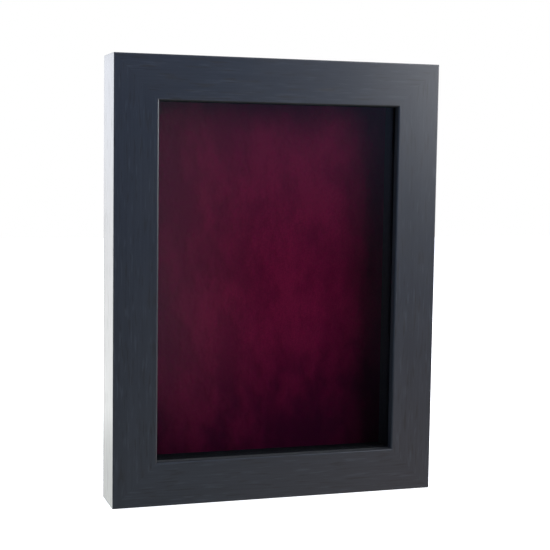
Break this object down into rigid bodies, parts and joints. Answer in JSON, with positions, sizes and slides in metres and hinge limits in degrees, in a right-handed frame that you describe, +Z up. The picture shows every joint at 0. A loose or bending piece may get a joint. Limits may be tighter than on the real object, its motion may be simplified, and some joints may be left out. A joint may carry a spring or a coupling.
{
  "type": "shadow box",
  "caption": "Deep black wood display frame with a glass front, a velvet-covered back, turn buttons behind and strap hangers for a wall.",
  "frame": {"origin": "centre of the flat underside of the bottom rail, which the box stands on", "axes": "+Z up, the glass faces -Y, +X to the right seen from the front"},
  "size_m": [0.1636, 0.0294, 0.2144],
  "materials": {
    "black_moulding": "satin black over a fine straight grain that runs along each rail",
    "clear_glass": "clear, polished",
    "spacer_card": "matt black",
    "burgundy_velvet": "short pile burgundy velvet with soft brushed patches",
    "display_board": "plain board",
    "hardboard": "smooth brown hardboard",
    "zinc_plate": "bright zinc plate",
    "nickel_plate": "nickel plate",
    "screw_steel": "zinc plate",
    "nail_steel": "plain steel",
    "bumper_rubber": "matt black"
  },
  "bodies": {
    "box": {"rail_top": "black_moulding", "rail_bottom": "black_moulding", "rail_left": "black_moulding", "rail_right": "black_moulding", "glass_pane": "clear_glass", "spacer_top": "spacer_card", "spacer_bottom": "spacer_card", "spacer_left": "spacer_card", "spacer_right": "spacer_card", "velvet_cover": "burgundy_velvet", "display_board": "display_board", "backing_board": "hardboard", "turn_button_screws": "screw_steel", "hanger_screws": "screw_steel", "hanger_strap_left": "nickel_plate", "wall_bumper_left": "bumper_rubber", "hanger_strap_right": "nickel_plate", "wall_bumper_right": "bumper_rubber", "corner_v_nails": "nail_steel"},
    "turn_button_top": {"turn_button_top": "zinc_plate"},
    "turn_button_bottom": {"turn_button_bottom": "zinc_plate"},
    "turn_button_left_upper": {"turn_button_left_upper": "zinc_plate"},
    "turn_button_left_lower": {"turn_button_left_lower": "zinc_plate"},
    "turn_button_right_upper": {"turn_button_right_upper": "zinc_plate"},
    "turn_button_right_lower": {"turn_button_right_lower": "zinc_plate"},
    "hanger_ring_left": {"hanger_ring_left": "nickel_plate"},
    "hanger_ring_right": {"hanger_ring_right": "nickel_plate"}
  },
  "joints": [
    {"name": "turn_button_top_turn", "type": "hinge", "parent": "box", "child": "turn_button_top", "pos_m": [0, 0.0133, 0.20565], "axis": [0, 1, 0], "continuous": true},
    {"name": "turn_button_bottom_turn", "type": "hinge", "parent": "box", "child": "turn_button_bottom", "pos_m": [0, 0.0133, 0.00875], "axis": [0, 1, 0], "continuous": true},
    {"name": "turn_button_left_upper_turn", "type": "hinge", "parent": "box", "child": "turn_button_left_upper", "pos_m": [-0.07305, 0.0133, 0.1424], "axis": [0, 1, 0], "continuous": true},
    {"name": "turn_button_left_lower_turn", "type": "hinge", "parent": "box", "child": "turn_button_left_lower", "pos_m": [-0.07305, 0.0133, 0.072], "axis": [0, 1, 0], "continuous": true},
    {"name": "turn_button_right_upper_turn", "type": "hinge", "parent": "box", "child": "turn_button_right_upper", "pos_m": [0.07305, 0.0133, 0.1424], "axis": [0, 1, 0], "continuous": true},
    {"name": "turn_button_right_lower_turn", "type": "hinge", "parent": "box", "child": "turn_button_right_lower", "pos_m": [0.07305, 0.0133, 0.072], "axis": [0, 1, 0], "continuous": true},
    {"name": "hanger_ring_left_swing", "type": "hinge", "parent": "box", "child": "hanger_ring_left", "pos_m": [-0.07305, 0.01414, 0.1874], "axis": [1, 0, 0], "range_deg": [0, 170]},
    {"name": "hanger_ring_right_swing", "type": "hinge", "parent": "box", "child": "hanger_ring_right", "pos_m": [0.07305, 0.01414, 0.1874], "axis": [1, 0, 0], "range_deg": [0, 170]}
  ]
}
